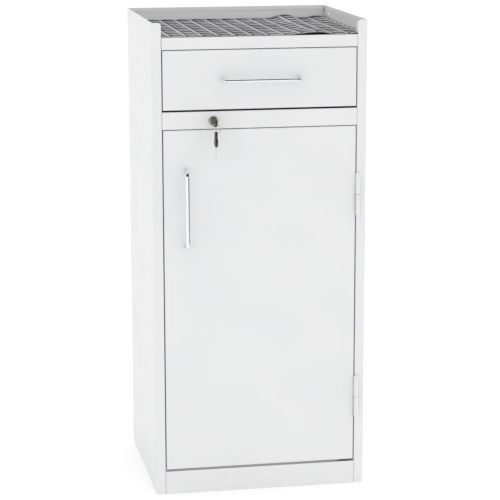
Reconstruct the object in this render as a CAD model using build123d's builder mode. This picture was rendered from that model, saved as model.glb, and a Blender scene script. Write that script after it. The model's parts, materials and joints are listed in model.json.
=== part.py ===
from build123d import *
import os

os.makedirs("parts", exist_ok=True)

# A one-drawer, one-door ward cabinet folded from steel sheet, in millimetres.
# +X is to the right of someone facing it, the front faces -Y and +Z is up.
# The origin is on the floor, at the centre of the floor area that the whole cabinet covers.

# Overall size and sheet
WIDTH = 450
DEPTH = 400
HEIGHT = 1000
SHEET = 1.0
BEND = 1.6
SKIN_GAP = 0.2

# Front, from the floor up: plinth, door, middle rail, drawer, top rail, rim
STILE = 20
SIDE_GAP = 2.2
GAP_ABOVE = 1.6
GAP_BELOW = 3.6
GAP_FOOT = 4.8
PLINTH_H = 49.4
DOOR_H = 725.3
MID_RAIL_H = 36.1
DRAWER_H = 122.2
TOP_RAIL_H = 25.4
PAN_DEPTH = 24
LIP = 12
LIP_CORNER = 3
HORN_RADIUS = 8
STILE_RETURN = 16
RAIL_RETURN = 15

# Flanges and folds inside the body
HEM = 9
WELD_LINE = 3
FLOOR_FLANGE = 20
ANGLE_LEG = 12
TRAY_FLANGE = 15
STOP_FLANGE = 32
RIM_HOLE = 3.5
RIM_HOLE_Y = 357
RIM_HOLE_DOWN = 15
RIVET = 2.6
RIVET_HEAD = 1.2
RIVET_LOW = 60
RIVET_PITCH = 150
RIVET_COUNT = 6

# Shelf, uprights and clips
UPRIGHT_DEEP = 2
UPRIGHT_WIDE = 18
SLOT_PITCH = 30
SLOT_HIGH = 12
SLOT_WIDE = 3
SHELF_HIGH = 20
CLIP_SHEET = 1.2
CLIP_WIDE = 14
CLIP_LEG = 12

# Loose parts and fittings
MAT = 3
MAT_GAP = 0.5
HANDLE_SPAN = 160
HANDLE_ROD = 8.4
HANDLE_REACH = 30
HANDLE_BEND = 10
HANDLE_SCREW = 2
DRAWER_HANDLE_X = 0.6
DOOR_HANDLE_X = -157
DOOR_HANDLE_Z = 615.7
HINGE_X = 207
HINGE_OUT = 5.4
HINGE_RADIUS = 5
HINGE_PIN = 3
HINGE_PIN_LENGTH = 60
HINGE_LEAF = 1.2
KNUCKLE = 45
KNUCKLE_GAP = 0.5
HINGE_Z = {"upper": 635.5, "lower": 195.3}

# Lock and its two keys
LOCK_X = -98.5
LOCK_Z = 797.5
LOCK_RADIUS = 8
BEZEL_RADIUS = 10.4
BEZEL = 3
PLUG_RADIUS = 5
NUT_ACROSS = 22
NUT = 4
CAM_DOOR_ARM = 27
CAM_DRAWER_ARM = 31
CAM_WIDTH = 11
CAM_DEPTH = 16.5
CAM_SHEET = 2
CAM_PLAY = 2
BOW_START = 8
BOW_LENGTH = 32.5
BOW_WIDTH = 21
BOW_THICK = 5.2
EYE_RADIUS = 7.5
EYE_HOLE = 4
EYE_THICK = 4
BLADE_LENGTH = 23
BLADE_WIDTH = 7
BLADE_THICK = 1.8
BITTINGS = 5
RING_RADIUS = 10.2
RING_WIRE = 1.2
LINK = 3.5

# Drawer and its telescopic slides
BOX_HALF = 190.8
BOX_LENGTH = 340
BOX_LOW = 830
BOX_HIGH = 926
BRACKET_START = 20
BRACKET_HALF = 23
BRACKET_FOOT = 10
SLIDE_Z = 876
SLIDE_START = 26
SLIDE_LENGTH = 335
SLIDE_HEIGHT = 35
SLIDE_SHEET = 1.2
SLIDE_LIP = 9
BALL = 3.2
RACE = 3.4
CAGE_LENGTH = 70
CAGE_WIDE = 4.6
CAGE_SHEET = 0.8
CAGE_Y = 196
BALL_PITCH = 11

# Heights that follow from the front's stack
DOOR_LOW = PLINTH_H + GAP_FOOT
DOOR_HIGH = DOOR_LOW + DOOR_H
MID_LOW = DOOR_HIGH + GAP_ABOVE
MID_HIGH = MID_LOW + MID_RAIL_H
DRAWER_LOW = MID_HIGH + GAP_BELOW
DRAWER_HIGH = DRAWER_LOW + DRAWER_H
DRAWER_HANDLE_Z = (DRAWER_LOW + DRAWER_HIGH) / 2
TOP_RAIL_LOW = DRAWER_HIGH + GAP_ABOVE
TOP_Z = TOP_RAIL_LOW + TOP_RAIL_H
BOTTOM_Z = PLINTH_H + 8
DIVIDER_Z = 800
SHELF_Z = 430
UPRIGHT_LOW = BOTTOM_Z + 20
UPRIGHT_HIGH = DIVIDER_Z - 40

# Plan positions that follow from the overall size
KEY_REACH = BOW_START + BOW_LENGTH - EYE_RADIUS + BOW_WIDTH / 2
FRONT = -(DEPTH - KEY_REACH) / 2
BACK = FRONT + DEPTH
SIDE = WIDTH / 2
OPENING = SIDE - STILE
PAN_WIDTH = 2 * (OPENING - SIDE_GAP)
RAIL_WIDTH = 2 * (OPENING - 0.5)
INNER_HALF = SIDE - SHEET - SKIN_GAP
BACK_HALF = SIDE - SHEET - 0.6
BACK_Y = BACK - SHEET
INNER_BACK = BACK_Y - SHEET - 0.6
STOP_Y = FRONT + 26
TRAY_FRONT = FRONT + STILE_RETURN + 1
TRAY_BACK = BACK_Y - 2 * SHEET - SKIN_GAP
BRACKET_X = OPENING - 1.5
UPRIGHT_Y = {"front": FRONT + 70, "rear": BACK - 60}


def behind(depth):
    """The upright plane that lies depth behind the front face, in real X and Z, facing the front."""
    return Plane.XZ.offset(-(FRONT + depth))


def facing_back(x, y, z):
    """A plane at a point whose normal points to the back of the cabinet."""
    return Plane((x, y, z), x_dir=(1, 0, 0), z_dir=(0, 1, 0))


def facing_front(x, y, z):
    """A plane at a point whose normal points to the front of the cabinet."""
    return Plane((x, y, z), x_dir=(1, 0, 0), z_dir=(0, -1, 0))


def save(piece, name):
    """Label a finished piece and write it under its own name."""
    piece.part.label = name
    export_step(piece.part, f"parts/{name}.step")


def folded(points, plane, length, side=Side.LEFT):
    """Sheet folded along points, its outer skin, and drawn out along the plane's normal."""
    with BuildPart() as strip:
        with BuildSketch(plane):
            with BuildLine():
                FilletPolyline(*points, radius=BEND)
                offset(amount=SHEET, side=side)
            make_face()
        extrude(amount=length)
    return strip.part


def slab(low, high):
    """A flat plate between two opposite corners."""
    with BuildPart() as plate:
        size = [b - a for a, b in zip(low, high)]
        with Locations(tuple((a + b) / 2 for a, b in zip(low, high))):
            Box(*size)
    return plate.part


def pan(low, high):
    """A front pan between two heights: face, returns on four sides and a lip all round behind."""
    middle = (low + high) / 2
    tall = high - low
    with BuildPart() as shell:
        with BuildSketch(behind(0)):
            with Locations((0, middle)):
                Rectangle(PAN_WIDTH, tall)
        extrude(amount=-PAN_DEPTH)
        fillet(shell.faces().sort_by(Axis.Y)[0].edges(), radius=BEND)
        with BuildSketch(behind(SHEET)):
            with Locations((0, middle)):
                Rectangle(PAN_WIDTH - 2 * SHEET, tall - 2 * SHEET)
        extrude(amount=-(PAN_DEPTH - 2 * SHEET), mode=Mode.SUBTRACT)
        with BuildSketch(behind(PAN_DEPTH)):
            with Locations((0, middle)):
                RectangleRounded(PAN_WIDTH - 2 * LIP, tall - 2 * LIP, LIP_CORNER)
        extrude(amount=SHEET, mode=Mode.SUBTRACT)
    return shell.part


def front_hem(top):
    """The fold behind the upper edge of a front member, as wide as the opening."""
    half = RAIL_WIDTH / 2
    return slab((-half, FRONT, top - HEM + 1), (half, FRONT + 2 * SHEET, top))


def mirrored(part):
    """The same piece for the other side of the cabinet."""
    return part.mirror(Plane.YZ)


# --- Body sides: skins, front stiles and rear corners, welded flush along upright lines ---
with BuildPart() as side_panel_right:
    add(slab((SIDE - SHEET, FRONT + WELD_LINE, 0), (SIDE, BACK - WELD_LINE, HEIGHT)))
    # closed hem along the rim
    hem_low = (SIDE - 2 * SHEET, FRONT + WELD_LINE, HEIGHT - HEM)
    add(slab(hem_low, (SIDE, BACK - 2 * WELD_LINE, HEIGHT)))
    # accessory hole through the rim near the back
    with Locations(Plane.YZ.offset(SIDE)):
        with Locations((FRONT + RIM_HOLE_Y, HEIGHT - RIM_HOLE_DOWN)):
            Hole(radius=RIM_HOLE, depth=3 * SHEET)
save(side_panel_right, "side_panel_right")

with BuildPart() as side_panel_left:
    add(mirrored(side_panel_right.part))
save(side_panel_left, "side_panel_left")

stile_line = [
    (OPENING, FRONT + STILE_RETURN),
    (OPENING, FRONT),
    (SIDE, FRONT),
    (SIDE, FRONT + WELD_LINE),
]
with BuildPart() as front_stile_right:
    add(folded(stile_line, Plane.XY, HEIGHT))
    # the stile runs to full height and ends in a rounded horn
    with BuildSketch(behind(0)):
        with Locations((OPENING, HEIGHT)):
            Rectangle(2 * HORN_RADIUS, 2 * HORN_RADIUS)
        with Locations((OPENING + HORN_RADIUS, HEIGHT - HORN_RADIUS)):
            Circle(HORN_RADIUS, mode=Mode.SUBTRACT)
    extrude(amount=-(STILE_RETURN + 1), mode=Mode.SUBTRACT)
save(front_stile_right, "front_stile_right")

with BuildPart() as front_stile_left:
    add(mirrored(front_stile_right.part))
save(front_stile_left, "front_stile_left")

with BuildPart() as rear_corners:
    rear_corner = folded([(SIDE, BACK - WELD_LINE), (SIDE, BACK), (OPENING, BACK)], Plane.XY, HEIGHT)
    add(rear_corner)
    add(mirrored(rear_corner))
save(rear_corners, "rear_corners")

# --- Floor angles: feet of the side panels, welded inside them along the floor ---
with BuildPart() as floor_angles:
    angle_start = STILE_RETURN + 2
    angle_line = [(SIDE - SHEET, ANGLE_LEG), (SIDE - SHEET, 0), (SIDE - FLOOR_FLANGE, 0)]
    floor_angle = folded(angle_line, behind(DEPTH - 3 * SHEET), DEPTH - 3 * SHEET - angle_start, Side.RIGHT)
    add(floor_angle)
    add(mirrored(floor_angle))
save(floor_angles, "floor_angles")

# --- Back panel: stands inside the rear corners, up to the rim, with a floor flange ---
with BuildPart() as back_panel:
    add(slab((-BACK_HALF, BACK_Y - SHEET, 0), (BACK_HALF, BACK_Y, HEIGHT)))
    hem_low = (-BACK_HALF, BACK_Y - 2 * SHEET, HEIGHT - HEM)
    add(slab(hem_low, (BACK_HALF, BACK_Y, HEIGHT)))
    # the floor flange stops short of the floor angles
    flange_half = SIDE - FLOOR_FLANGE - 1
    add(slab((-flange_half, BACK_Y - FLOOR_FLANGE, 0), (flange_half, BACK_Y, SHEET)))
save(back_panel, "back_panel")

with BuildPart() as back_rivets:
    for end in (-1, 1):
        for row in range(RIVET_COUNT):
            with Locations(facing_back(end * (SIDE - STILE / 2), BACK, RIVET_LOW + row * RIVET_PITCH)):
                Cylinder(RIVET, RIVET_HEAD, align=(Align.CENTER, Align.CENTER, Align.MIN))
    chamfer(back_rivets.edges().group_by(Axis.Y)[-1], length=RIVET_HEAD / 2.4)
save(back_rivets, "back_rivets")

# --- Top panel: tray floor between the rims, with the front rail folded down from it ---
with BuildPart() as top_panel:
    rail_line = [
        (FRONT + RAIL_RETURN, TOP_RAIL_LOW),
        (FRONT, TOP_RAIL_LOW),
        (FRONT, TOP_Z),
        (TRAY_FRONT + SHEET, TOP_Z),
    ]
    add(folded(rail_line, Plane.YZ.offset(-RAIL_WIDTH / 2), RAIL_WIDTH, Side.RIGHT))
    add(slab((-INNER_HALF, TRAY_FRONT, TOP_Z - SHEET), (INNER_HALF, TRAY_BACK, TOP_Z)))
    add(slab((-INNER_HALF, TRAY_BACK - SHEET, TOP_Z - TRAY_FLANGE), (INNER_HALF, TRAY_BACK, TOP_Z)))
    flange = slab((INNER_HALF - SHEET, TRAY_FRONT, TOP_Z - TRAY_FLANGE), (INNER_HALF, TRAY_BACK, TOP_Z))
    add(flange)
    add(mirrored(flange))
save(top_panel, "top_panel")

# --- Middle rail: carries the lock, with a return below and a closed hem above ---
with BuildPart() as mid_rail:
    rail_line = [(FRONT + RAIL_RETURN, MID_LOW), (FRONT, MID_LOW), (FRONT, MID_HIGH)]
    add(folded(rail_line, Plane.YZ.offset(-RAIL_WIDTH / 2), RAIL_WIDTH, Side.RIGHT))
    add(front_hem(MID_HIGH))
    with BuildSketch(behind(0)):
        with Locations((LOCK_X, LOCK_Z)):
            Circle(LOCK_RADIUS + 0.1)
    extrude(amount=-2 * SHEET, mode=Mode.SUBTRACT)
save(mid_rail, "mid_rail")

# --- Divider between the drawer and the door compartment; its front flange stops the door ---
with BuildPart() as divider_panel:
    stop_half = OPENING - 2
    flange_low = DIVIDER_Z - TRAY_FLANGE
    add(slab((-INNER_HALF, STOP_Y, DIVIDER_Z - SHEET), (INNER_HALF, INNER_BACK, DIVIDER_Z)))
    add(slab((-stop_half, STOP_Y, DIVIDER_Z - STOP_FLANGE), (stop_half, STOP_Y + SHEET, DIVIDER_Z)))
    add(slab((-INNER_HALF, INNER_BACK - SHEET, flange_low), (INNER_HALF, INNER_BACK, DIVIDER_Z)))
    flange = slab((INNER_HALF - SHEET, STOP_Y, flange_low), (INNER_HALF, INNER_BACK, DIVIDER_Z))
    add(flange)
    add(mirrored(flange))
save(divider_panel, "divider_panel")

# --- Bottom panel: raised floor of the door compartment; its front flange stops the door ---
with BuildPart() as bottom_panel:
    stop_half = RAIL_WIDTH / 2
    flange_low = BOTTOM_Z - FLOOR_FLANGE
    add(slab((-INNER_HALF, STOP_Y, BOTTOM_Z - SHEET), (INNER_HALF, INNER_BACK, BOTTOM_Z)))
    add(slab((-stop_half, STOP_Y, PLINTH_H), (stop_half, STOP_Y + SHEET, BOTTOM_Z)))
    add(slab((-INNER_HALF, INNER_BACK - SHEET, flange_low), (INNER_HALF, INNER_BACK, BOTTOM_Z)))
    flange = slab((INNER_HALF - SHEET, STOP_Y, flange_low), (INNER_HALF, INNER_BACK, BOTTOM_Z))
    add(flange)
    add(mirrored(flange))
save(bottom_panel, "bottom_panel")

# --- Plinth: closes the front below the door, with a closed hem above and a flange on the floor ---
with BuildPart() as plinth:
    kick = [(FRONT + FLOOR_FLANGE, 0), (FRONT, 0), (FRONT, PLINTH_H)]
    add(folded(kick, Plane.YZ.offset(-RAIL_WIDTH / 2), RAIL_WIDTH, Side.RIGHT))
    add(front_hem(PLINTH_H))
save(plinth, "plinth")

# --- Rubber buffers that the closed door rests against, on the two stop flanges ---
BUFFER_RADIUS = 3
BUFFER_HIGH = 1.6
with BuildPart() as door_buffers:
    for height in (DOOR_HIGH - 2 * BUFFER_RADIUS, BOTTOM_Z - BUFFER_RADIUS):
        with Locations(facing_front(30 - OPENING, STOP_Y, height)):
            Cylinder(BUFFER_RADIUS, BUFFER_HIGH, align=(Align.CENTER, Align.CENTER, Align.MIN))
save(door_buffers, "door_buffers")


# --- Slotted uprights, the shelf and the clips that it sits on ---
def upright(y):
    """One slotted strip on the inside of the right side panel."""
    count = int((UPRIGHT_HIGH - UPRIGHT_LOW) / SLOT_PITCH) - 1
    middle = (UPRIGHT_LOW + UPRIGHT_HIGH) / 2
    with BuildPart() as strip:
        with Locations((SIDE - SHEET - UPRIGHT_DEEP / 2, y, middle)):
            Box(UPRIGHT_DEEP, UPRIGHT_WIDE, UPRIGHT_HIGH - UPRIGHT_LOW)
            with Locations([(0, 0, (i - (count - 1) / 2) * SLOT_PITCH) for i in range(count)]):
                Box(3 * UPRIGHT_DEEP, SLOT_WIDE, SLOT_HIGH, mode=Mode.SUBTRACT)
    return strip.part


for place, y in UPRIGHT_Y.items():
    with BuildPart() as pair:
        right_strip = upright(y)
        add(right_strip)
        add(mirrored(right_strip))
    save(pair, f"shelf_uprights_{place}")

with BuildPart() as shelf:
    shelf_half = SIDE - SHEET - UPRIGHT_DEEP - 1.5
    shelf_front = FRONT + 40
    shelf_back = INNER_BACK - 6
    shelf_middle = (0, (shelf_front + shelf_back) / 2, SHELF_Z - SHELF_HIGH / 2)
    with Locations(shelf_middle):
        Box(2 * shelf_half, shelf_back - shelf_front, SHELF_HIGH)
    fillet(shelf.faces().sort_by(Axis.Z)[-1].edges(), radius=BEND)
    with Locations(shelf_middle):
        with Locations((0, 0, -SHEET)):
            inner_depth = shelf_back - shelf_front - 2 * SHEET
            Box(2 * (shelf_half - SHEET), inner_depth, SHELF_HIGH, mode=Mode.SUBTRACT)
save(shelf, "shelf")

with BuildPart() as shelf_clips:
    clip_x = SIDE - SHEET - UPRIGHT_DEEP
    seat = SHELF_Z - SHELF_HIGH
    for y in UPRIGHT_Y.values():
        clip_y = (y - CLIP_WIDE / 2, y + CLIP_WIDE / 2)
        leg_low = (clip_x - CLIP_SHEET, clip_y[0], seat - CLIP_LEG)
        add(slab(leg_low, (clip_x, clip_y[1], seat)))
        add(slab((clip_x - CLIP_LEG, clip_y[0], seat - CLIP_SHEET), (clip_x, clip_y[1], seat)))
    mirror(about=Plane.YZ)
save(shelf_clips, "shelf_clips")

# --- Mat on the tray: flexible ribbed sheet, notched round the two horns ---
with BuildPart() as top_mat:
    mat_back = TRAY_BACK - MAT_GAP / 2
    for half, start in ((OPENING - 1, FRONT), (INNER_HALF - 1.2, TRAY_FRONT)):
        mat_front = start + MAT_GAP
        add(slab((-half, mat_front, TOP_Z), (half, mat_back, TOP_Z + MAT)))
save(top_mat, "top_mat")

# --- Slide brackets: channels that bring the slides inside the stiles ---
bracket_line = [
    (SIDE - SHEET, SLIDE_Z - BRACKET_HALF - BRACKET_FOOT),
    (SIDE - SHEET, SLIDE_Z - BRACKET_HALF),
    (BRACKET_X + SHEET, SLIDE_Z - BRACKET_HALF),
    (BRACKET_X + SHEET, SLIDE_Z + BRACKET_HALF),
    (SIDE - SHEET, SLIDE_Z + BRACKET_HALF),
    (SIDE - SHEET, SLIDE_Z + BRACKET_HALF + BRACKET_FOOT),
]
bracket_end = BRACKET_START + SLIDE_START + SLIDE_LENGTH - 12
with BuildPart() as slide_bracket_right:
    add(folded(bracket_line, behind(bracket_end), bracket_end - BRACKET_START))
save(slide_bracket_right, "slide_bracket_right")

with BuildPart() as slide_bracket_left:
    add(mirrored(slide_bracket_right.part))
save(slide_bracket_left, "slide_bracket_left")


# --- Telescopic slides: three nested channels and two rows of caged balls on each side ---
def slide_channel(web_x, half, tip_x, length):
    """A slide member on the right side: a web at web_x with flanges that reach to tip_x."""
    low, high = sorted((web_x, tip_x))
    outward = 1 if tip_x > web_x else -1
    cut_low, cut_high = sorted((web_x + outward * SLIDE_SHEET, tip_x + outward))
    with BuildPart() as member:
        with BuildSketch(behind(SLIDE_START)):
            with Locations(((low + high) / 2, SLIDE_Z)):
                RectangleRounded(high - low, 2 * half, SLIDE_SHEET * 0.4)
            with Locations(((cut_low + cut_high) / 2, SLIDE_Z)):
                Rectangle(cut_high - cut_low, 2 * (half - SLIDE_SHEET), mode=Mode.SUBTRACT)
        extrude(amount=-length)
    return member.part


OUTER_HALF = SLIDE_HEIGHT / 2
MIDDLE_HALF = OUTER_HALF - SLIDE_SHEET - RACE
INNER_SLIDE_HALF = MIDDLE_HALF - SLIDE_SHEET - RACE
MIDDLE_X = BRACKET_X - SLIDE_SHEET - 0.5
members = {
    "slide_outer": slide_channel(BRACKET_X, OUTER_HALF, BRACKET_X - SLIDE_LIP, SLIDE_LENGTH + 5),
    "slide_middle": slide_channel(MIDDLE_X, MIDDLE_HALF, BOX_HALF + 2, SLIDE_LENGTH),
    "slide_inner": slide_channel(BOX_HALF, INNER_SLIDE_HALF, MIDDLE_X - 1.9, SLIDE_LENGTH),
}
for name, member in members.items():
    with BuildPart() as right_member:
        add(member)
    save(right_member, f"{name}_right")
    with BuildPart() as left_member:
        add(mirrored(member))
    save(left_member, f"{name}_left")


def ball_places(x, z):
    """The places of one row's balls at x, z, spread evenly along its cage."""
    count = int(CAGE_LENGTH / BALL_PITCH)
    start = FRONT + CAGE_Y - (count - 1) * BALL_PITCH / 2
    return [(x, start + i * BALL_PITCH, z) for i in range(count)]


ROWS = {
    "outer": (BRACKET_X - 5.5, MIDDLE_HALF + RACE / 2),
    "inner": (BRACKET_X - 7.0, INNER_SLIDE_HALF + RACE / 2),
}
for row, (row_x, row_z) in ROWS.items():
    centres = [(end * row_x, SLIDE_Z + level * row_z) for end in (-1, 1) for level in (-1, 1)]
    spots = [spot for x, z in centres for spot in ball_places(x, z)]
    with BuildPart() as cages:
        with Locations([(x, FRONT + CAGE_Y, z) for x, z in centres]):
            Box(CAGE_WIDE, CAGE_LENGTH, CAGE_SHEET)
        with Locations(spots):
            Cylinder(BALL / 2 + 0.05, 4 * CAGE_SHEET, mode=Mode.SUBTRACT)
    save(cages, f"ball_cages_{row}")
    with BuildPart() as balls:
        with Locations(spots):
            Sphere(BALL / 2)
    save(balls, f"slide_balls_{row}")

# --- Rubber blocks at the back of the outer members, which stop the closing drawer ---
with BuildPart() as slide_buffers:
    block_y = FRONT + SLIDE_START + SLIDE_LENGTH + 2.8
    with Locations([(end * (BRACKET_X - 5.2), block_y, SLIDE_Z) for end in (-1, 1)]):
        Box(7.6, 4, 26)
save(slide_buffers, "slide_buffers")


# --- Cutters for the pans: the cam's slot in a return, and the handle's screw holes ---
def cam_slot(arm, side, z):
    """The slot that one arm of the cam swings through; side is where the arm points when unlocked."""
    reach = (arm**2 + (CAM_WIDTH / 2) ** 2 - (z - LOCK_Z) ** 2) ** 0.5 + CAM_PLAY
    low, high = sorted((LOCK_X + side * reach, LOCK_X - side * (CAM_WIDTH / 2 + CAM_PLAY)))
    near = FRONT + CAM_DEPTH - CAM_PLAY / 2
    return slab((low, near, z - 2 * SHEET), (high, near + CAM_SHEET + CAM_PLAY, z + 2 * SHEET))


def screw_places(x, z, upright_bar):
    """The x and z of the two screws of a handle centred on x, z."""
    half = HANDLE_SPAN / 2
    return [(x, z - half), (x, z + half)] if upright_bar else [(x - half, z), (x + half, z)]


# --- Drawer: front pan, box, handle and screws ---
with BuildPart() as drawer_front:
    add(pan(DRAWER_LOW, DRAWER_HIGH))
    add(cam_slot(CAM_DRAWER_ARM, -1, DRAWER_LOW), mode=Mode.SUBTRACT)
    with BuildSketch(behind(0)):
        with Locations(screw_places(DRAWER_HANDLE_X, DRAWER_HANDLE_Z, False)):
            Circle(HANDLE_SCREW + 0.2)
    extrude(amount=-2 * SHEET, mode=Mode.SUBTRACT)
save(drawer_front, "drawer_front")

BOX_FRONT = FRONT + PAN_DEPTH
with BuildPart() as drawer_box:
    box_middle = (0, BOX_FRONT + BOX_LENGTH / 2, (BOX_LOW + BOX_HIGH) / 2)
    with Locations(box_middle):
        Box(2 * BOX_HALF, BOX_LENGTH, BOX_HIGH - BOX_LOW)
    fillet(drawer_box.edges().filter_by(Axis.Z), radius=BEND)
    fillet(drawer_box.faces().sort_by(Axis.Z)[0].edges(), radius=BEND / 2)
    with Locations(box_middle):
        with Locations((0, 0, SHEET)):
            inner_length = BOX_LENGTH - 2 * SHEET
            Box(2 * (BOX_HALF - SHEET), inner_length, BOX_HIGH - BOX_LOW, mode=Mode.SUBTRACT)
save(drawer_box, "drawer_box")

BOX_SCREW = 3.5
BOX_SCREW_IN = 8
BOX_SCREW_UP = 12
with BuildPart() as drawer_front_screws:
    for end in (-1, 1):
        for height in (BOX_LOW + BOX_SCREW_UP, BOX_HIGH - BOX_SCREW_UP):
            with Locations(facing_back(end * (BOX_HALF - BOX_SCREW_IN), BOX_FRONT + SHEET, height)):
                Cylinder(BOX_SCREW, 2, align=(Align.CENTER, Align.CENTER, Align.MIN))
    fillet(drawer_front_screws.edges().group_by(Axis.Y)[-1], radius=0.9)
save(drawer_front_screws, "drawer_front_screws")


def handle(x, z, upright_bar):
    """A bent-rod bow handle centred on x, z, with a blind screw hole in each end."""
    out = FRONT - HANDLE_REACH + HANDLE_ROD / 2
    (start_x, start_z), (end_x, end_z) = screw_places(x, z, upright_bar)
    path = [(start_x, FRONT, start_z), (start_x, out, start_z), (end_x, out, end_z), (end_x, FRONT, end_z)]
    with BuildPart() as bar:
        with BuildLine() as route:
            FilletPolyline(*path, radius=HANDLE_BEND)
        with BuildSketch(facing_front(*path[0])):
            Circle(HANDLE_ROD / 2)
        sweep(path=route.line)
        for end in (path[0], path[-1]):
            with Locations(facing_back(*end)):
                Hole(radius=HANDLE_SCREW + 0.05, depth=12)
    return bar.part


def handle_screws(x, z, upright_bar):
    """Two pan-head screws that hold a handle from behind the pan's face."""
    with BuildPart() as screws:
        for screw_x, screw_z in screw_places(x, z, upright_bar):
            seat = facing_back(screw_x, FRONT + SHEET, screw_z)
            with Locations(seat):
                Cylinder(2 * HANDLE_SCREW, 2.4, align=(Align.CENTER, Align.CENTER, Align.MIN))
            with Locations(seat.offset(0.1)):
                Cylinder(HANDLE_SCREW, 11, align=(Align.CENTER, Align.CENTER, Align.MAX))
        fillet(screws.edges().group_by(Axis.Y)[-1], radius=1)
    return screws.part


with BuildPart() as drawer_handle:
    add(handle(DRAWER_HANDLE_X, DRAWER_HANDLE_Z, False))
save(drawer_handle, "drawer_handle")

with BuildPart() as drawer_handle_screws:
    add(handle_screws(DRAWER_HANDLE_X, DRAWER_HANDLE_Z, False))
save(drawer_handle_screws, "drawer_handle_screws")

# --- Door: front pan, stiffener, handle and screws ---
with BuildPart() as door_panel:
    add(pan(DOOR_LOW, DOOR_HIGH))
    add(cam_slot(CAM_DOOR_ARM, 1, DOOR_HIGH), mode=Mode.SUBTRACT)
    with BuildSketch(behind(0)):
        with Locations(screw_places(DOOR_HANDLE_X, DOOR_HANDLE_Z, True)):
            Circle(HANDLE_SCREW + 0.2)
    extrude(amount=-2 * SHEET, mode=Mode.SUBTRACT)
save(door_panel, "door_panel")

STIFFENER_HALF = 25
STIFFENER_FOOT = 12
STIFFENER_END = 30
with BuildPart() as door_stiffener:
    hat_back = FRONT + PAN_DEPTH - 4
    hat = [
        (-STIFFENER_HALF - STIFFENER_FOOT, FRONT + SHEET),
        (-STIFFENER_HALF, FRONT + SHEET),
        (-STIFFENER_HALF, hat_back),
        (STIFFENER_HALF, hat_back),
        (STIFFENER_HALF, FRONT + SHEET),
        (STIFFENER_HALF + STIFFENER_FOOT, FRONT + SHEET),
    ]
    add(folded(hat, Plane.XY.offset(DOOR_LOW + STIFFENER_END), DOOR_H - 2 * STIFFENER_END))
save(door_stiffener, "door_stiffener")

with BuildPart() as door_handle:
    add(handle(DOOR_HANDLE_X, DOOR_HANDLE_Z, True))
save(door_handle, "door_handle")

with BuildPart() as door_handle_screws:
    add(handle_screws(DOOR_HANDLE_X, DOOR_HANDLE_Z, True))
save(door_handle_screws, "door_handle_screws")

# --- Lift-off hinges: lower knuckle and pin on the stile, upper knuckle on the door ---
HINGE_Y = FRONT - HINGE_OUT
LEAF_DEPTH = 14
for place, middle in HINGE_Z.items():
    knuckle_top = (HINGE_X, HINGE_Y, middle - KNUCKLE_GAP)
    with BuildPart() as frame_half:
        with Locations(knuckle_top):
            Cylinder(HINGE_RADIUS, KNUCKLE, align=(Align.CENTER, Align.CENTER, Align.MAX))
        chamfer(frame_half.edges().group_by(Axis.Z)[0], length=1)
        with Locations(knuckle_top):
            bore = HINGE_PIN_LENGTH / 2 - KNUCKLE_GAP + 0.5
            Cylinder(HINGE_PIN, bore, align=(Align.CENTER, Align.CENTER, Align.MAX), mode=Mode.SUBTRACT)
        leaf_low = (OPENING - HINGE_LEAF, FRONT - 3, middle - KNUCKLE + 1)
        add(slab(leaf_low, (OPENING, FRONT + LEAF_DEPTH, middle - KNUCKLE_GAP)))
    save(frame_half, f"hinge_frame_half_{place}")

    with BuildPart() as pin:
        with Locations((HINGE_X, HINGE_Y, middle)):
            Cylinder(HINGE_PIN, HINGE_PIN_LENGTH)
        chamfer(pin.edges().group_by(Axis.Z)[-1], length=1)
    save(pin, f"hinge_pin_{place}")

    knuckle_foot = (HINGE_X, HINGE_Y, middle + KNUCKLE_GAP)
    with BuildPart() as door_half:
        with Locations(knuckle_foot):
            Cylinder(HINGE_RADIUS, KNUCKLE, align=(Align.CENTER, Align.CENTER, Align.MIN))
        chamfer(door_half.edges().group_by(Axis.Z)[-1], length=1)
        with Locations(knuckle_foot):
            socket = (HINGE_PIN + 0.08, HINGE_PIN_LENGTH / 2 + 2)
            Cylinder(*socket, align=(Align.CENTER, Align.CENTER, Align.MIN), mode=Mode.SUBTRACT)
        leaf_x = PAN_WIDTH / 2
        leaf_high = (leaf_x + HINGE_LEAF, FRONT + LEAF_DEPTH, middle + KNUCKLE - 1)
        add(slab((leaf_x, HINGE_Y, middle + KNUCKLE_GAP), leaf_high))
    save(door_half, f"hinge_door_half_{place}")

with BuildPart() as hinge_washers:
    for middle in HINGE_Z.values():
        with Locations((HINGE_X, HINGE_Y, middle - 0.15)):
            Cylinder(HINGE_RADIUS - 0.4, 0.7)
            Cylinder(HINGE_PIN + 0.05, 2, mode=Mode.SUBTRACT)
save(hinge_washers, "hinge_washers")

# --- Cam lock in the middle rail ---
BODY_DEPTH = CAM_DEPTH - 1
with BuildPart() as lock_body:
    with BuildSketch(behind(-BEZEL)):
        with Locations((LOCK_X, LOCK_Z)):
            Circle(BEZEL_RADIUS)
    extrude(amount=-BEZEL)
    fillet(lock_body.edges().group_by(Axis.Y)[0], radius=1.2)
    with BuildSketch(behind(0)):
        with Locations((LOCK_X, LOCK_Z)):
            Circle(LOCK_RADIUS)
    extrude(amount=-BODY_DEPTH)
    with BuildSketch(behind(-BEZEL)):
        with Locations((LOCK_X, LOCK_Z)):
            Circle(PLUG_RADIUS + 0.08)
    extrude(amount=-(BODY_DEPTH + BEZEL), mode=Mode.SUBTRACT)
save(lock_body, "lock_body")

with BuildPart() as lock_nut:
    with BuildSketch(behind(SHEET)):
        with Locations((LOCK_X, LOCK_Z)):
            RegularPolygon(NUT_ACROSS / 2, 6, major_radius=False)
            Circle(LOCK_RADIUS + 0.05, mode=Mode.SUBTRACT)
    extrude(amount=-NUT)
save(lock_nut, "lock_nut")

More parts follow.
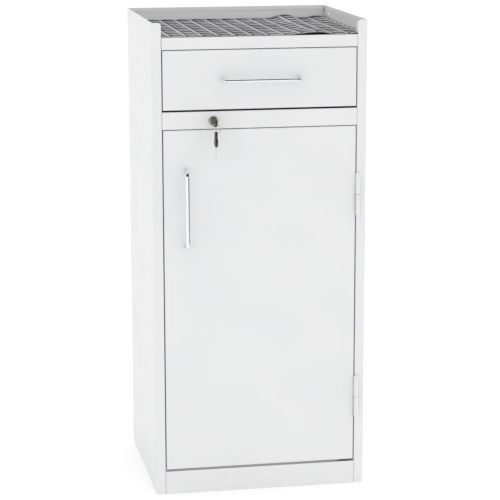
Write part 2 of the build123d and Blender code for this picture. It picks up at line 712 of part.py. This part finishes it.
PLUG_SUNK = 0.2
KEYWAY_PLAY = 0.6
with BuildPart() as lock_plug:
    with BuildSketch(behind(PLUG_SUNK - BEZEL)):
        with Locations((LOCK_X, LOCK_Z)):
            Circle(PLUG_RADIUS)
    extrude(amount=-(CAM_DEPTH + BEZEL - PLUG_SUNK))
    with BuildSketch(behind(-BEZEL)):
        with Locations((LOCK_X, LOCK_Z)):
            Rectangle(BLADE_THICK + KEYWAY_PLAY, BLADE_WIDTH + KEYWAY_PLAY)
    extrude(amount=-(BEZEL + BLADE_LENGTH - BOW_START + KEYWAY_PLAY), mode=Mode.SUBTRACT)
save(lock_plug, "lock_plug")

CAM_BORE = 2.6
with BuildPart() as lock_cam:
    with BuildSketch(behind(CAM_DEPTH)):
        with Locations((LOCK_X, LOCK_Z)):
            Circle(CAM_WIDTH / 2 + 1.5)
        with Locations((LOCK_X + (CAM_DOOR_ARM - CAM_DRAWER_ARM) / 2, LOCK_Z)):
            RectangleRounded(CAM_DOOR_ARM + CAM_DRAWER_ARM, CAM_WIDTH, 2.5)
        with Locations((LOCK_X, LOCK_Z)):
            Circle(CAM_BORE, mode=Mode.SUBTRACT)
    extrude(amount=-CAM_SHEET)
save(lock_cam, "lock_cam")

with BuildPart() as cam_screw:
    with Locations(facing_back(LOCK_X, FRONT + CAM_DEPTH + CAM_SHEET, LOCK_Z)):
        Cylinder(4.2, 2.4, align=(Align.CENTER, Align.CENTER, Align.MIN))
        Cylinder(CAM_BORE - 0.1, CAM_SHEET, align=(Align.CENTER, Align.CENTER, Align.MAX))
    fillet(cam_screw.edges().group_by(Axis.Y)[-1], radius=1)
save(cam_screw, "cam_screw")


# --- Keys: steel blade, and a moulded bow that ends in an eye for the ring ---
def key_bow(plane):
    """A bow in the plane, which lies in the bow's middle with its origin where the blade enters."""
    eye_x = BOW_LENGTH - EYE_RADIUS
    with BuildPart() as bow:
        with BuildSketch(plane.offset(-BOW_THICK / 2)):
            with Locations((BOW_WIDTH / 2 + 0.5, 0)):
                Ellipse(BOW_WIDTH / 2 + 0.5, BOW_WIDTH / 2)
        extrude(amount=BOW_THICK)
        fillet(bow.edges(), radius=1.2)
        with BuildSketch(plane.offset(-EYE_THICK / 2)):
            with Locations((BOW_WIDTH / 2, 0)):
                Circle(BOW_WIDTH / 2 - 2)
            with Locations((eye_x, 0)):
                Circle(EYE_RADIUS)
            make_hull()
        extrude(amount=EYE_THICK)
        with BuildSketch(plane.offset(-BOW_THICK)):
            with Locations((eye_x, 0)):
                Circle(EYE_HOLE)
        extrude(amount=2 * BOW_THICK, mode=Mode.SUBTRACT)
    return bow.part


def key_blade(plane):
    """A blade from the bow's inside to its tip, with cuts along one edge and a bevelled tip."""
    with BuildPart() as blade:
        with BuildSketch(plane.offset(-BLADE_THICK / 2)):
            with Locations((-BLADE_LENGTH / 2, 0)):
                Rectangle(BLADE_LENGTH, BLADE_WIDTH)
            with Locations([(-9 - 2.6 * i, -BLADE_WIDTH / 2) for i in range(BITTINGS)]):
                Rectangle(1.5, 1.9, rotation=45, mode=Mode.SUBTRACT)
            with Locations((-BLADE_LENGTH, BLADE_WIDTH / 2)):
                Rectangle(3.4, 3.4, rotation=45, mode=Mode.SUBTRACT)
        extrude(amount=BLADE_THICK)
    return blade.part


# the key in the lock points out of it, with its bow upright
KEY_PLANE = Plane((LOCK_X, FRONT - BOW_START, LOCK_Z), x_dir=(0, -1, 0), z_dir=(1, 0, 0))

# the ring hangs round the lower web of the first key's eye, and carries the spare key
EYE_Y = FRONT - BOW_START - BOW_LENGTH + EYE_RADIUS
WEB = (EYE_RADIUS + EYE_HOLE) / 2
RING_Z = LOCK_Z - WEB + LINK - RING_RADIUS
with BuildPart() as key_ring:
    with Locations(facing_front(LOCK_X, EYE_Y, RING_Z)):
        Torus(RING_RADIUS, RING_WIRE / 2)
save(key_ring, "key_ring")

SPARE_TOP = RING_Z - RING_RADIUS + LINK + (EYE_RADIUS - EYE_HOLE) / 2
SPARE_PLANE = Plane((LOCK_X, EYE_Y, SPARE_TOP - BOW_LENGTH), x_dir=(0, 0, 1), z_dir=(1, 0, 0))
for prefix, plane in (("", KEY_PLANE), ("spare_", SPARE_PLANE)):
    with BuildPart() as bow:
        add(key_bow(plane))
    save(bow, f"{prefix}key_bow")
    with BuildPart() as blade:
        add(key_blade(plane))
    save(blade, f"{prefix}key_blade")
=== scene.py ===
import json
import math

import bpy
import numpy as np
from mathutils import Matrix, Vector


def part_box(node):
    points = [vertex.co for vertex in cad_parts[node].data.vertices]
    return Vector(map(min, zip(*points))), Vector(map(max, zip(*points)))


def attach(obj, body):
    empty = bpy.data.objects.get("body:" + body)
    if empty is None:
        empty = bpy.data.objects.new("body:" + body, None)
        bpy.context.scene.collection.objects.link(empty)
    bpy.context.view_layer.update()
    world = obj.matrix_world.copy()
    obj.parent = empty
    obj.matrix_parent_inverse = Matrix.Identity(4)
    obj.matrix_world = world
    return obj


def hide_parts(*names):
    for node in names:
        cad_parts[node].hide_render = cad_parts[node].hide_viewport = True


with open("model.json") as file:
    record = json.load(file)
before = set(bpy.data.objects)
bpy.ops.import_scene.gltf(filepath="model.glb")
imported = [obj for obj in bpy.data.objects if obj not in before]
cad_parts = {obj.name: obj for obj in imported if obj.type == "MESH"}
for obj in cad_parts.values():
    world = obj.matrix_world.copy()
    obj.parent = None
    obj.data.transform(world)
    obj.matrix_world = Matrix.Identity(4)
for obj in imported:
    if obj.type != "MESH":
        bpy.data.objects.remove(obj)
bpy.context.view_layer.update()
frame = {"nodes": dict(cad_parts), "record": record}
nodes = frame["nodes"]
slot_of = {part["node"]: part["material_slot"] for part in frame["record"]["subparts"]}

# Places taken from the frame, in metres
mat_low, mat_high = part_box("top_mat")
lock_low, lock_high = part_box("lock_body")
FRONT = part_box("door_panel")[0].y
lock_centre = (lock_low + lock_high) / 2
back_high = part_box("back_panel")[1]

# The open seam in the rim's rear corners, painted dark as dirt and shade in the gap: how far it lies in
# from the back panel's end and outer face
SEAM_X = (back_high.x - 0.0012, back_high.x + 0.0006)
SEAM_Y = (back_high.y - 0.0032, back_high.y - 0.0003)
SEAM_LOW = back_high.z - 0.016
SEAM_HIGH = back_high.z - 0.005
SEAM_SOFT = 0.001

# How much dust the coat shows at the floor, and up to what height
DUST = 0.5
DUST_HIGH = 0.07

# Linear colours that are used once each below
COAT = ((0.765, 0.768, 0.775, 1), (0.79, 0.791, 0.795, 1))
FLOOR_DUST = (0.66, 0.64, 0.60, 1)
SEAM_DIRT_AND_SHADE = (0.10, 0.10, 0.10, 1)
ZINC = ((0.58, 0.60, 0.63, 1), (0.74, 0.75, 0.76, 1))
CHROME = ((0.80, 0.82, 0.84, 1), (0.88, 0.89, 0.90, 1))
NICKEL = ((0.44, 0.38, 0.29, 1), (0.86, 0.80, 0.68, 1))
BRASS = ((0.55, 0.40, 0.16, 1), (0.80, 0.64, 0.34, 1))
KEY_STEEL = ((0.62, 0.62, 0.60, 1), (0.80, 0.80, 0.78, 1))
BLACK_RUBBER = ((0.012, 0.012, 0.012, 1), (0.03, 0.03, 0.03, 1))
BLACK_PLASTIC = ((0.012, 0.012, 0.013, 1), (0.03, 0.03, 0.032, 1))
MAT_RUBBER = ((0.012, 0.012, 0.014, 1), (0.84, 0.83, 0.845, 1))
MAT_STAIN = (0.05, 0.05, 0.055, 1)
FLOOR_PALE = ((0.95, 0.95, 0.95, 1), (0.97, 0.97, 0.97, 1))


# ---------------------------------------------------------------- materials


class Look:
    """A node material in the making: its tree, its shader and the object's own coordinates in metres."""

    def __init__(self, name, **sockets):
        self.material = bpy.data.materials.new(name)
        self.material.use_nodes = True
        self.tree = self.material.node_tree
        self.shader = self.tree.nodes["Principled BSDF"]
        self.place = self.add("ShaderNodeTexCoord").outputs["Object"]
        for socket, value in sockets.items():
            self.shader.inputs[socket.replace("_", " ")].default_value = value

    def add(self, kind, **inputs):
        """A node of that kind, with values or links given by the names of its inputs."""
        node = self.tree.nodes.new(kind)
        for name, value in inputs.items():
            self.give(node.inputs[name.replace("_", " ")], value)
        return node

    def give(self, socket, value):
        """Link a socket to an output, or set its value."""
        if isinstance(value, bpy.types.NodeSocket):
            self.tree.links.new(value, socket)
        else:
            socket.default_value = value

    def math(self, operation, first, second=0.0, third=0.0):
        node = self.tree.nodes.new("ShaderNodeMath")
        node.operation = operation
        for socket, value in zip(node.inputs, (first, second, third)):
            self.give(socket, value)
        return node.outputs[0]

    def noise(self, scale, detail=2.0, roughness=0.5, stretch=(1, 1, 1)):
        """Noise of scale cycles a metre, stretched along the axes."""
        mapping = self.add("ShaderNodeMapping", Vector=self.place, Scale=stretch)
        found = self.add("ShaderNodeTexNoise", Vector=mapping.outputs[0], Scale=scale)
        found.inputs["Detail"].default_value = detail
        found.inputs["Roughness"].default_value = roughness
        return found.outputs["Fac"]

    def span(self, value, low, high, to_low=0.0, to_high=1.0):
        """Map a value's range low to high onto another range, clamped."""
        found = self.add("ShaderNodeMapRange", Value=value)
        names = ("From Min", "From Max", "To Min", "To Max")
        for name, number in zip(names, (low, high, to_low, to_high)):
            found.inputs[name].default_value = number
        return found.outputs[0]

    def between(self, value, limits):
        """1 where a value lies between two limits, else 0."""
        over = self.math("GREATER_THAN", value, limits[0])
        return self.math("MULTIPLY", over, self.math("LESS_THAN", value, limits[1]))

    def mix(self, share, first, second):
        """A colour between two colours."""
        node = self.tree.nodes.new("ShaderNodeMix")
        node.data_type = "RGBA"
        self.give(node.inputs["Factor"], share)
        self.give(node.inputs["A"], first)
        self.give(node.inputs["B"], second)
        return node.outputs["Result"]

    def bump(self, height, distance, strength=1.0, normal=None):
        node = self.add("ShaderNodeBump", Height=height, Distance=distance, Strength=strength)
        if normal is not None:
            self.give(node.inputs["Normal"], normal)
        return node.outputs[0]

    def finish(self, colour=None, roughness=None, normal=None):
        for name, value in (("Base Color", colour), ("Roughness", roughness), ("Normal", normal)):
            if value is not None:
                self.give(self.shader.inputs[name], value)
        return self.material


def corner_seam_dirt_and_shade(look):
    """A mask for the open seam where the back rim meets each side rim, below the hem, painted dark as dirt
    and shade in the gap.
    """
    axes = look.add("ShaderNodeSeparateXYZ", Vector=look.place).outputs
    far_out = look.between(look.math("ABSOLUTE", axes["X"]), SEAM_X)
    at_back = look.between(axes["Y"], SEAM_Y)
    above = look.span(axes["Z"], SEAM_LOW, SEAM_LOW + SEAM_SOFT)
    below = look.span(axes["Z"], SEAM_HIGH - SEAM_SOFT, SEAM_HIGH, 1.0, 0.0)
    corner = look.math("MULTIPLY", far_out, at_back)
    return look.math("MULTIPLY", corner, look.math("MULTIPLY", above, below))


def powder_coat():
    """White semi-gloss powder coat: orange peel, faint mottling, floor dust and the rim's corner seams
    painted dark as dirt and shade.
    """
    look = Look("powder_coat_white", IOR=1.5)
    mottle = look.span(look.noise(7, 4), 0.3, 0.7)
    white = look.mix(mottle, *COAT)
    height = look.add("ShaderNodeSeparateXYZ", Vector=look.place).outputs["Z"]
    low_down = look.span(height, 0.0, DUST_HIGH, DUST, 0.0)
    speck = look.span(look.noise(160, 5, 0.7), 0.52, 0.7)
    dust = look.math("MULTIPLY", low_down, speck)
    white = look.mix(dust, white, FLOOR_DUST)
    # painted shade and dirt: the corner seams are darkened in the coat's colour
    white = look.mix(corner_seam_dirt_and_shade(look), white, SEAM_DIRT_AND_SHADE)
    rough = look.span(look.noise(18, 5, 0.6), 0.3, 0.7, 0.34, 0.44)
    peel = look.bump(look.noise(650, 2), 0.00006, 0.55)
    slow = look.bump(look.noise(9, 1), 0.0006, 0.35, peel)
    return look.finish(white, rough, slow)


def zinc_steel():
    """Bright zinc plating with a faint crystal pattern and drawn lines along the part."""
    look = Look("zinc_plated_steel", Metallic=1.0)
    crystals = look.add("ShaderNodeTexVoronoi", Vector=look.place, Scale=260.0).outputs["Distance"]
    colour = look.mix(look.span(crystals, 0.0, 0.8), *ZINC)
    drawn = look.noise(420, 3, 0.6, (1, 0.02, 1))
    rough = look.span(drawn, 0.3, 0.7, 0.24, 0.42)
    return look.finish(colour, rough, look.bump(drawn, 0.00003, 0.5))


def chrome():
    """Polished chrome plating with very fine wipe marks."""
    look = Look("chrome_plate", Metallic=1.0)
    marks = look.noise(900, 4, 0.7, (1, 0.15, 1))
    colour = look.mix(look.noise(30, 2), *CHROME)
    rough = look.span(marks, 0.3, 0.75, 0.035, 0.11)
    return look.finish(colour, rough, look.bump(marks, 0.000008, 0.4))


def turned(name, colours, rough_low, rough_high):
    """Plated metal with lathe-turned rings about the lock's axis."""
    look = Look(name, Metallic=1.0)
    moved = look.add("ShaderNodeMapping", Vector=look.place, Location=-lock_centre)
    rings = look.add("ShaderNodeTexWave", Vector=moved.outputs[0], Scale=520.0, Distortion=1.2)
    rings.inputs["Detail"].default_value = 3.0
    rings.wave_type = "RINGS"
    rings.rings_direction = "Y"
    tone = rings.outputs["Fac"]
    colour = look.mix(look.math("MULTIPLY", tone, look.noise(220, 3)), *colours)
    rough = look.span(look.noise(340, 4), 0.3, 0.7, rough_low, rough_high)
    return look.finish(colour, rough, look.bump(tone, 0.00002, 0.5))


def moulded(name, colours, rough_low, rough_high, grain):
    """Moulded plastic or rubber with a fine spark-eroded grain."""
    look = Look(name)
    spots = look.noise(grain, 3, 0.6)
    colour = look.mix(look.noise(60, 3), *colours)
    rough = look.span(spots, 0.3, 0.7, rough_low, rough_high)
    return look.finish(colour, rough, look.bump(spots, 0.00004, 0.6))


def key_steel():
    """Nickel-plated key stock, rubbed bright with scratches along the blade."""
    look = Look("key_steel", Metallic=1.0)
    scratch = look.noise(700, 4, 0.7, (1, 1, 0.08))
    colour = look.mix(scratch, *KEY_STEEL)
    rough = look.span(scratch, 0.3, 0.7, 0.16, 0.34)
    return look.finish(colour, rough, look.bump(scratch, 0.00002, 0.5))


def ribbed_rubber():
    """Grey soft rubber: the tone on the mesh paints highlight on the crests and shade in the grooves."""
    look = Look("ribbed_rubber", Specular_IOR_Level=0.12)
    tone = look.add("ShaderNodeAttribute")
    tone.attribute_name = "tone"
    wear = look.span(look.noise(60, 4), 0.3, 0.7, -0.08, 0.08)
    base = look.mix(look.math("ADD", tone.outputs["Fac"], wear), *MAT_RUBBER)
    blotch = look.span(look.noise(11, 3), 0.35, 0.65)
    base = look.mix(look.math("MULTIPLY", blotch, 0.2), base, MAT_STAIN)
    grain = look.noise(900, 4, 0.7)
    rough = look.span(grain, 0.3, 0.7, 0.6, 0.8)
    return look.finish(base, rough, look.bump(grain, 0.00008, 0.7))


finishes = {
    "powder_coat": powder_coat(),
    "zinc_steel": zinc_steel(),
    "chrome": chrome(),
    "lock_nickel": turned("lock_nickel", NICKEL, 0.16, 0.30),
    "brass": turned("brass_turned", BRASS, 0.2, 0.36),
    "black_rubber": moulded("black_rubber", BLACK_RUBBER, 0.55, 0.75, 500),
    "black_plastic": moulded("black_plastic", BLACK_PLASTIC, 0.3, 0.45, 900),
    "key_steel": key_steel(),
    "mat_rubber": ribbed_rubber(),
}
for name, part in nodes.items():
    for slot in part.material_slots:
        slot.material = finishes[slot_of[name]]


# ---------------------------------------------------------------- the ribbed mat

# Ridges run from front to back, one to a column
COLUMN = 0.0338
BEAD = 0.0082
BEAD_HIGH = 0.0016
GUTTER_OFF = 0.0062
GUTTER = 0.0017
# Bars lie across each column, arched towards the back, with a steep wall at their front
BAR_PITCH = 0.0395
BAR_SHARE = 0.5
BAR_HIGH = 0.0014
BAR_ARCH = 0.006
BAR_FRONT = 0.08
BAR_BACK = 0.1
WALL_SOFT = 0.04
BAR_SHIFT = 0.0022
FINE_PITCH = 0.0043
FINE_HIGH = 0.0002
# The sheet, its play in the tray and its notches round the horns of the rims
MAT_THICK = 0.0022
CLEAR = 0.0003
TRIM = 0.0002
HORN_X = mat_high.x - 0.0184
HORN_Y = FRONT + 0.0178
SCALLOP = 0.0009
SHADED_END = 0.030
# The wrinkle at the back, the middle and the front: its height, then where it starts, its crest and its end
WRINKLE_BACK = (0.0066, (0.086, 0.115, 0.129, 0.158))
WRINKLE_MIDDLE = (0.0036, (0.088, 0.118, 0.126, 0.148))
WRINKLE_FRONT = (0.0046, (0.046, 0.118, 0.128, 0.156))
# The loose corners on the right: their height, where they start and how wide they rise
CORNER_BACK = (0.0032, 0.170, 0.036)
CORNER_FRONT = (0.0036, 0.182, 0.034)
# Tones: 0 is the darkest rubber and 1 the palest; pale beads and bars are painted highlight, dark gutters,
# bar walls and the underside painted shade
TONE_FLOOR = 0.38
TONE_BAR = 0.26
TONE_BEAD = 0.64
TONE_BEAD_BAR = 0.12
TONE_GUTTER_PAINTED_SHADE = 0.35
TONE_UNDER_PAINTED_SHADE = 0.12


def smooth(value):
    """A smooth step from 0 to 1."""
    value = np.clip(value, 0, 1)
    return value * value * (3 - 2 * value)


def swell(x, wrinkle):
    """A rise to a level crest and down again."""
    height, (start, crest_start, crest_end, end) = wrinkle
    rise = smooth((x - start) / (crest_start - start))
    return height * np.minimum(rise, smooth((end - x) / (end - crest_end)))


def mat_lift(x, y):
    """How far the mat stands off the tray: a long wrinkle, a loose front edge and two loose corners."""
    along = (y - mat_low.y) / (mat_high.y - mat_low.y)
    drift = x - 0.006 * along - 0.003 * np.sin(9 * along)
    back, middle, front = (swell(drift, row) for row in (WRINKLE_BACK, WRINKLE_MIDDLE, WRINKLE_FRONT))
    to_back = smooth((along - 0.62) / 0.38)
    to_front = smooth((0.34 - along) / 0.34)
    wrinkle = middle + (back - middle) * to_back + (front - middle) * to_front
    height, start, wide = CORNER_BACK
    back_corner = height * to_back * smooth((x - start) / wide)
    height, start, wide = CORNER_FRONT
    front_corner = height * smooth((0.14 - along) / 0.14) * smooth((x - start) / wide)
    phase = (x - mat_low.x) / COLUMN
    scallop = SCALLOP * np.sin(math.pi * (phase - np.floor(phase)))
    return wrinkle + back_corner + front_corner + scallop * smooth((along - 0.93) / 0.07)


def mat_relief(x, y):
    """Height of the moulded pattern above the sheet, and its tone from 0 in grooves to 1 on crests: painted
    highlight on crests, painted shade in gutters and on bar walls, and a painted shadow along the back
    edge.
    """
    phase = (x - mat_low.x) / COLUMN
    column = np.floor(phase)
    across = (phase - column - 0.5) * COLUMN
    beside = COLUMN / 2 - np.abs(across)
    bead = np.clip(1 - (beside / (BEAD / 2)) ** 2, 0, 1) ** 0.5
    from_bead = np.where(across < 0, beside, -beside)
    gutter = np.exp(-(((from_bead - GUTTER_OFF) / GUTTER) ** 2))
    arch = BAR_ARCH * (1 - (2 * across / COLUMN) ** 2)
    uneven = BAR_SHIFT * np.sin(2.4 * column + 0.7)
    cycle = (y - mat_low.y - arch + uneven) / BAR_PITCH
    place = cycle - np.floor(cycle)
    start = 1 - BAR_SHARE
    rise = np.clip((place - start) / BAR_FRONT, 0, 1)
    bar = smooth(rise) * smooth((1 - place) / BAR_BACK)
    # painted shade on the steep front wall of each bar
    wall_painted_shade = smooth((place - (start - WALL_SOFT)) / WALL_SOFT) * (rise < 1)
    inside = smooth((beside - BEAD / 2) / 0.0016)
    fine = 0.5 + 0.5 * np.cos(2 * math.pi * (y - arch) / FINE_PITCH)
    height = np.maximum(BEAD_HIGH * bead, (BAR_HIGH * bar + FINE_HIGH * fine) * inside)
    wear = 1 + 0.12 * np.sin(31 * x + 3) * np.sin(17 * y + 1)
    plain = (TONE_FLOOR + TONE_BAR * bar) * wear * (1 - wall_painted_shade)
    # pale beads and bar tops are painted highlight, the gutters painted shade
    tone = plain * inside + (TONE_BEAD + TONE_BEAD_BAR * bar) * bead - TONE_GUTTER_PAINTED_SHADE * gutter
    shade = smooth((y - (mat_high.y - SHADED_END)) / 0.010)
    return height, np.clip(tone * (1 - 0.45 * shade), 0, 1)


def mat_lines():
    """Grid lines: fine across each bead and bar, and on the edges of the notches round the horns."""
    columns = int(math.ceil((mat_high.x - mat_low.x) / COLUMN))
    steps = np.array([0, 0.03, 0.06, 0.08, 0.10, 0.13, 0.17, 0.27, 0.39, 0.5])
    steps = np.unique(np.concatenate([steps, 1 - steps[1:]]))
    xs = np.concatenate([mat_low.x + (i + steps) * COLUMN for i in range(columns)])
    xs = xs[xs < mat_high.x - 4 * TRIM]
    xs = np.unique(np.concatenate([xs, [mat_high.x - TRIM, HORN_X, -HORN_X]]))
    xs = np.clip(xs, mat_low.x + TRIM, None)
    rows = int(round((mat_high.y - mat_low.y) / (FINE_PITCH / 4)))
    ys = np.unique(np.concatenate([np.linspace(mat_low.y, mat_high.y - CLEAR, rows), [HORN_Y]]))
    return xs, ys


def make_mat():
    """A closed sheet: the moulded top, a plain underside and the walls between them."""
    xs, ys = mat_lines()
    x, y = (grid.ravel() for grid in np.meshgrid(xs, ys))
    wide = len(xs)
    relief, tone = mat_relief(x, y)
    base = mat_low.z + CLEAR + mat_lift(x, y)
    top = np.stack([x, y, base + MAT_THICK - BAR_HIGH + relief], 1)
    under = np.stack([x, y, base], 1)
    column, row = np.meshgrid(np.arange(wide - 1), np.arange(len(ys) - 1))
    middle_x = (xs[:-1] + xs[1:])[column] / 2
    middle_y = (ys[:-1] + ys[1:])[row] / 2
    kept = ~((np.abs(middle_x) > HORN_X) & (middle_y < HORN_Y))
    first = (row * wide + column)[kept]
    top_faces = np.stack([first, first + 1, first + 1 + wide, first + wide], 1)
    offset = len(x)
    under_faces = top_faces[:, ::-1] + offset
    edges = np.concatenate([top_faces[:, [i, (i + 1) % 4]] for i in range(4)])
    known = set(map(tuple, edges))
    rim = np.array([edge for edge in known if (edge[1], edge[0]) not in known])
    rim = rim[np.lexsort((rim[:, 1], rim[:, 0]))]
    walls = np.stack([rim[:, 1], rim[:, 0], rim[:, 0] + offset, rim[:, 1] + offset], 1)
    faces = np.concatenate([top_faces, under_faces, walls])
    points = np.concatenate([top, under])
    # the underside is given a dark tone as painted shade
    tones_with_painted_light = np.concatenate([tone, np.full(offset, TONE_UNDER_PAINTED_SHADE)])
    used, renumbered = np.unique(faces, return_inverse=True)
    mesh = bpy.data.meshes.new("ribbed_mat")
    mesh.from_pydata(points[used].tolist(), [], renumbered.reshape(faces.shape).tolist())
    painted = mesh.attributes.new("tone", "FLOAT", "POINT")
    painted.data.foreach_set("value", tones_with_painted_light[used].astype(np.float32))
    mesh.polygons.foreach_set("use_smooth", [True] * len(mesh.polygons))
    mesh.materials.append(finishes["mat_rubber"])
    mesh.validate()
    mat = bpy.data.objects.new("ribbed_mat", mesh)
    bpy.context.scene.collection.objects.link(mat)
    return mat


ribbed_mat = make_mat()
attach(ribbed_mat, "cabinet")
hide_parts("top_mat")


# ---------------------------------------------------------------- camera

YAW = 0.18401
PITCH = 0.20493
ROLL = -0.0016
EYE = Vector((-0.7283, -3.9709, 1.3256))
LENS = 135.7
SENSOR = 36.0

camera = bpy.data.objects.new("camera", bpy.data.cameras.new("camera"))
camera.data.lens = LENS
camera.data.sensor_width = SENSOR
ahead = Vector((math.sin(YAW) * math.cos(PITCH), math.cos(YAW) * math.cos(PITCH), -math.sin(PITCH)))
right = Vector((math.cos(YAW), -math.sin(YAW), 0))
above = right.cross(ahead)
turned_right = right * math.cos(ROLL) + above * math.sin(ROLL)
turned_above = above * math.cos(ROLL) - right * math.sin(ROLL)
axes = Matrix((turned_right, turned_above, -ahead)).transposed()
camera.matrix_world = Matrix.Translation(EYE) @ axes.to_4x4()
bpy.context.scene.collection.objects.link(camera)
bpy.context.scene.camera = camera


# ---------------------------------------------------------------- floor

# It ends to the right of the cabinet, where chrome then finds the dark room
FLOOR_LOW = (-9.0, -9.0)
FLOOR_HIGH = (2.1, 12.0)
FLOOR_GLOW = 0.14
floor_mesh = bpy.data.meshes.new("floor")
floor_corners = [(FLOOR_LOW[0], FLOOR_LOW[1], 0), (FLOOR_HIGH[0], FLOOR_LOW[1], 0)]
floor_corners += [(FLOOR_HIGH[0], FLOOR_HIGH[1], 0), (FLOOR_LOW[0], FLOOR_HIGH[1], 0)]
floor_mesh.from_pydata(floor_corners, [], [(0, 1, 2, 3)])
floor = bpy.data.objects.new("floor", floor_mesh)
floor_look = Look("floor_pale", Roughness=0.9, Specular_IOR_Level=0.0)
floor_look.shader.inputs["Emission Color"].default_value = (1, 1, 1, 1)
floor_look.shader.inputs["Emission Strength"].default_value = FLOOR_GLOW
pale = floor_look.mix(floor_look.noise(3, 3), *FLOOR_PALE)
floor_mesh.materials.append(floor_look.finish(pale))
bpy.context.scene.collection.objects.link(floor)


# ---------------------------------------------------------------- light

BACKDROP = (1.03, 1.03, 1.03, 1)
LEFT_LIGHT = (0.925, 0.925, 0.912, 1)
RIGHT_LIGHT = (1.085, 1.085, 1.095, 1)
DARK_ROOM = (0.015, 0.015, 0.02, 1)
# How far up the room behind the camera is dark, as the rise of a direction of length 1
ROOM_LOW = 0.14
ROOM_HIGH = 0.82
ROOM_SOFT = 0.05


class Sky(Look):
    """The world's node tree, with the same helpers; its place is the direction looked in."""

    def __init__(self, name):
        self.world = bpy.data.worlds.new(name)
        self.world.use_nodes = True
        self.tree = self.world.node_tree
        self.place = self.add("ShaderNodeTexCoord").outputs["Generated"]


# A white studio, a little dimmer on the left, where gloss also finds the dark room behind the camera
sky = Sky("studio")
way = sky.add("ShaderNodeSeparateXYZ", Vector=sky.place).outputs
rise = sky.span(way["Z"], ROOM_LOW - ROOM_SOFT, ROOM_LOW)
fall = sky.span(way["Z"], ROOM_HIGH, ROOM_HIGH + ROOM_SOFT, 1.0, 0.0)
room = sky.math("MULTIPLY", sky.math("MULTIPLY", rise, fall), sky.span(way["Y"], -0.05, -0.2))
below = sky.math("MULTIPLY", sky.span(way["Z"], -0.02, -0.06), sky.span(way["X"], 0.3, 0.5))
dark = sky.math("MAXIMUM", room, below)
rays = sky.add("ShaderNodeLightPath").outputs
soft_light = sky.mix(sky.span(way["X"], -0.7, 0.2), LEFT_LIGHT, RIGHT_LIGHT)
seen = sky.mix(rays["Is Diffuse Ray"], BACKDROP, soft_light)
seen = sky.mix(sky.math("MULTIPLY", dark, rays["Is Glossy Ray"]), seen, DARK_ROOM)
sky.give(sky.tree.nodes["Background"].inputs["Color"], seen)
bpy.context.scene.world = sky.world
bpy.context.scene.view_settings.view_transform = "Standard"
